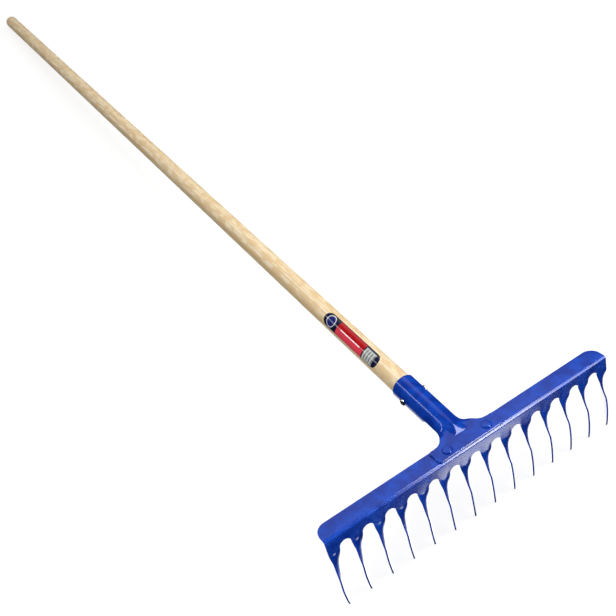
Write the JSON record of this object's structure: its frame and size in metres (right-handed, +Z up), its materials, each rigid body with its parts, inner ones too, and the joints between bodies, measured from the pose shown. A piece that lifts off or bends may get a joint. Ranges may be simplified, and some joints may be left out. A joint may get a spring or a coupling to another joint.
{
  "type": "thatch rake",
  "caption": "Thatch rake: leaf shaped steel tines twisted out of one pressed bar, riveted to a rolled socket on a long round wooden pole.",
  "frame": {"origin": "centre of the part's bounding box, on the floor that the tine tips and the pole's far end stand on", "axes": "+X along the bar of tines, +Y from the tines towards the pole's far end, +Z up"},
  "size_m": [0.3804, 1.6344, 0.0945],
  "materials": {
    "tine_head": "glossy blue powder coat on steel sheet",
    "socket": "glossy blue powder coat on steel sheet",
    "rivet_left": "steel rivet under the same blue coat",
    "rivet_right": "steel rivet under the same blue coat",
    "screw_left": "bright plated steel",
    "screw_right": "bright plated steel",
    "handle": "pale turned wood with a fine lengthwise grain and a thin clear coat",
    "label": "glossy adhesive film, red with dark ends, no text"
  },
  "bodies": {
    "root": {"tine_head": "tine_head", "socket": "socket", "rivet_left": "rivet_left", "rivet_right": "rivet_right", "screw_left": "screw_left", "screw_right": "screw_right", "handle": "handle", "label": "label"}
  },
  "joints": []
}
